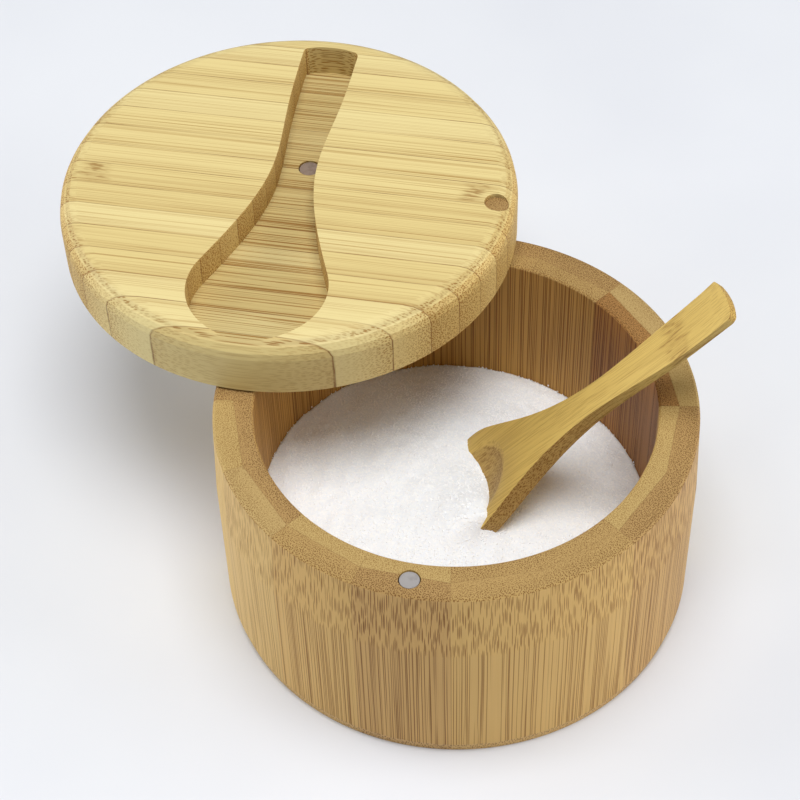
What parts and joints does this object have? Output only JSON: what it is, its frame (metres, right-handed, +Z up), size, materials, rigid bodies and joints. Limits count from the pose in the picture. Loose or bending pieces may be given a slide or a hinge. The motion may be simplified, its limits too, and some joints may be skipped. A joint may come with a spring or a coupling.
{
  "type": "salt box",
  "caption": "Round laminated-bamboo salt box with a flat lid that swivels sideways on a rim pivot, closed by magnets, and a small scoop that stores in the lid.",
  "frame": {"origin": "centre of the underside of the bottom disc, on the body's axis, flush with the foot of the wall", "axes": "+Z up along the body's axis; +Y from the axis towards the lid's pivot screw, -Y towards the rim magnet; the lid is swung open to the left, over -X, and the scoop's handle leans to +X"},
  "size_m": [0.1505, 0.1458, 0.0833],
  "materials": {
    "bamboo_outer_ply": "satin laminated bamboo, oiled, fine vertical fibre streaks",
    "bamboo_inner_ply": "satin laminated bamboo, fine vertical fibre streaks",
    "bamboo_lid": "satin laminated bamboo strips on edge, light, glue lines and node marks",
    "bamboo_scoop": "satin solid bamboo, fibre streaks along the handle",
    "magnet": "nickel-plated, brushed, slightly tarnished",
    "screw_steel": "zinc-plated",
    "salt": "fine white table salt"
  },
  "bodies": {
    "box": {"stave_outer_01": "bamboo_outer_ply", "stave_outer_02": "bamboo_outer_ply", "stave_outer_03": "bamboo_outer_ply", "stave_outer_04": "bamboo_outer_ply", "stave_outer_05": "bamboo_outer_ply", "stave_outer_06": "bamboo_outer_ply", "stave_outer_07": "bamboo_outer_ply", "stave_outer_08": "bamboo_outer_ply", "stave_outer_09": "bamboo_outer_ply", "stave_outer_10": "bamboo_outer_ply", "stave_outer_11": "bamboo_outer_ply", "stave_outer_12": "bamboo_outer_ply", "stave_outer_13": "bamboo_outer_ply", "stave_outer_14": "bamboo_outer_ply", "stave_outer_15": "bamboo_outer_ply", "stave_outer_16": "bamboo_outer_ply", "stave_inner_01": "bamboo_inner_ply", "stave_inner_02": "bamboo_inner_ply", "stave_inner_03": "bamboo_inner_ply", "stave_inner_04": "bamboo_inner_ply", "stave_inner_05": "bamboo_inner_ply", "stave_inner_06": "bamboo_inner_ply", "stave_inner_07": "bamboo_inner_ply", "stave_inner_08": "bamboo_inner_ply", "stave_inner_09": "bamboo_inner_ply", "stave_inner_10": "bamboo_inner_ply", "stave_inner_11": "bamboo_inner_ply", "stave_inner_12": "bamboo_inner_ply", "stave_inner_13": "bamboo_inner_ply", "stave_inner_14": "bamboo_inner_ply", "stave_inner_15": "bamboo_inner_ply", "stave_inner_16": "bamboo_inner_ply", "bottom_disc": "bamboo_inner_ply", "rim_magnet": "magnet", "pivot_screw": "screw_steel", "salt": "salt"},
    "lid": {"lid_strip_01": "bamboo_lid", "lid_strip_02": "bamboo_lid", "lid_strip_03": "bamboo_lid", "lid_strip_04": "bamboo_lid", "lid_strip_05": "bamboo_lid", "lid_strip_06": "bamboo_lid", "lid_strip_07": "bamboo_lid", "lid_strip_08": "bamboo_lid", "lid_strip_09": "bamboo_lid", "lid_strip_10": "bamboo_lid", "lid_strip_11": "bamboo_lid", "lid_strip_12": "bamboo_lid", "lid_strip_13": "bamboo_lid", "lid_strip_14": "bamboo_lid", "lid_strip_15": "bamboo_lid", "lid_strip_16": "bamboo_lid", "pivot_plug": "bamboo_lid", "lid_magnet": "magnet", "keeper_magnet": "magnet"},
    "scoop": {"scoop": "bamboo_scoop", "scoop_disc": "magnet"}
  },
  "joints": [
    {"name": "lid_swivel", "type": "hinge", "parent": "box", "child": "lid", "pos_m": [0, 0.046, 0], "axis": [0, 0, 1], "range_deg": [0, 88.3]},
    {"name": "scoop_lift", "type": "slide", "parent": "box", "child": "scoop", "axis": [0.6301, 0.1271, 0.766], "range_m": [0, 0.105]}
  ],
  "couplings": [
    {"joint": "scoop_lift", "follows": "lid_swivel", "m_per_rad": 0.068}
  ]
}
